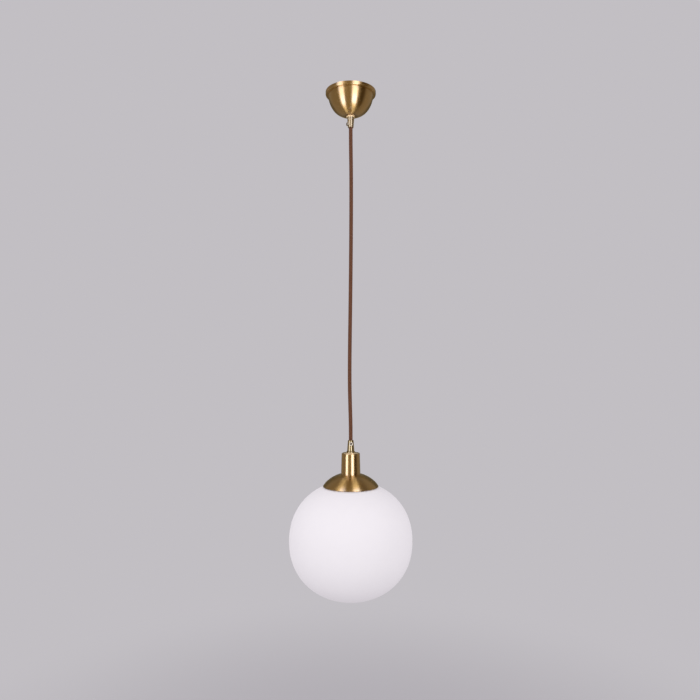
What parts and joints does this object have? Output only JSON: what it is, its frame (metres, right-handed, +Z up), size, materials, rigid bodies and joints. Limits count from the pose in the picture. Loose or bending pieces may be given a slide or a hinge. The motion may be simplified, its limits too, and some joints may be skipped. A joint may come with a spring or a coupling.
{
  "type": "pendant ceiling light",
  "caption": "Pendant ceiling light: a spun brass canopy, a brown textile cord and a round opal glass globe under a shallow brass cap.",
  "frame": {"origin": "on the ceiling, in the middle of the bracket's upper face, on the lamp's axis", "axes": "+Z up into the ceiling, -Y towards the front where the lower set screw faces, +X to the right; the bracket runs along X"},
  "size_m": [0.25, 0.25, 1.038],
  "materials": {
    "spun_brass": "satin, brushed round the axis, clear lacquer",
    "turned_brass": "polished, pale",
    "thread_brass": "bare, machined",
    "steel": "zinc plated",
    "spring_steel": "bright spring steel",
    "screw_steel": "plated screw",
    "textile_cord": "woven brown textile braid",
    "opal_glass": "matt opal white",
    "frosted_glass": "frosted white",
    "bulb_metal": "nickel plated",
    "black_glass": "glossy",
    "solder": "soft solder",
    "white_nylon": "moulded, translucent white",
    "moulded_black": "moulded phenolic",
    "porcelain": "unglazed white",
    "silicone": "soft, translucent",
    "brown_wire": "insulation",
    "blue_wire": "insulation",
    "earth_wire": "green and yellow insulation"
  },
  "bodies": {
    "mounting": {"ceiling_bracket": "steel", "terminal_block": "white_nylon", "terminal_screws": "thread_brass", "block_screw": "screw_steel", "earth_tag": "solder", "earth_screw": "thread_brass", "live_wire": "brown_wire", "neutral_wire": "blue_wire", "earth_wire": "earth_wire"},
    "canopy": {"canopy": "spun_brass", "canopy_screws": "screw_steel", "canopy_nipple": "thread_brass", "canopy_washer": "steel", "canopy_locknut": "thread_brass", "canopy_grip": "turned_brass", "canopy_grip_screw": "turned_brass", "cord_head": "textile_cord"},
    "cord": {"cord": "textile_cord"},
    "lamp": {"cord_tail": "textile_cord", "holder_grip": "turned_brass", "holder_grip_screw": "turned_brass", "holder_nipple": "thread_brass", "holder_washer": "steel", "holder_locknut": "thread_brass", "lampholder_cup": "spun_brass", "lampholder_top": "moulded_black", "lampholder_insert": "porcelain", "lampholder_skirt": "moulded_black", "screw_shell": "thread_brass", "centre_contact": "thread_brass", "side_contact": "thread_brass", "live_lead": "brown_wire", "neutral_lead": "blue_wire", "cap": "spun_brass", "globe_holder": "steel", "holder_spring_1": "spring_steel", "holder_spring_2": "spring_steel", "holder_spring_3": "spring_steel", "spring_rivets": "thread_brass", "glass_gasket": "silicone", "shade_ring": "moulded_black"},
    "globe": {"globe": "opal_glass"},
    "bulb": {"bulb_contact": "solder", "bulb_insulator": "black_glass", "bulb_cap": "bulb_metal", "bulb_envelope": "frosted_glass"}
  },
  "joints": [
    {"name": "canopy_drop", "type": "slide", "parent": "mounting", "child": "canopy", "axis": [0, 0, -1], "range_m": [0, 0.06], "deforming": ["live_wire", "neutral_wire", "earth_wire"]},
    {"name": "cord_swing", "type": "hinge", "parent": "canopy", "child": "cord", "pos_m": [0, 0, -0.0748], "axis": [0, 1, 0], "range_deg": [-20, 20], "deforming": ["cord"]},
    {"name": "lamp_tip", "type": "hinge", "parent": "cord", "child": "lamp", "pos_m": [0, 0, -0.7205], "axis": [1, 0, 0], "range_deg": [-15, 15]},
    {"name": "globe_pull", "type": "slide", "parent": "lamp", "child": "globe", "axis": [0, 0, -1], "range_m": [0, 0.09], "deforming": ["holder_spring_1", "holder_spring_2", "holder_spring_3"]},
    {"name": "bulb_unscrew", "type": "slide", "parent": "lamp", "child": "bulb", "axis": [0, 0, -1], "range_m": [0, 0.036]}
  ]
}
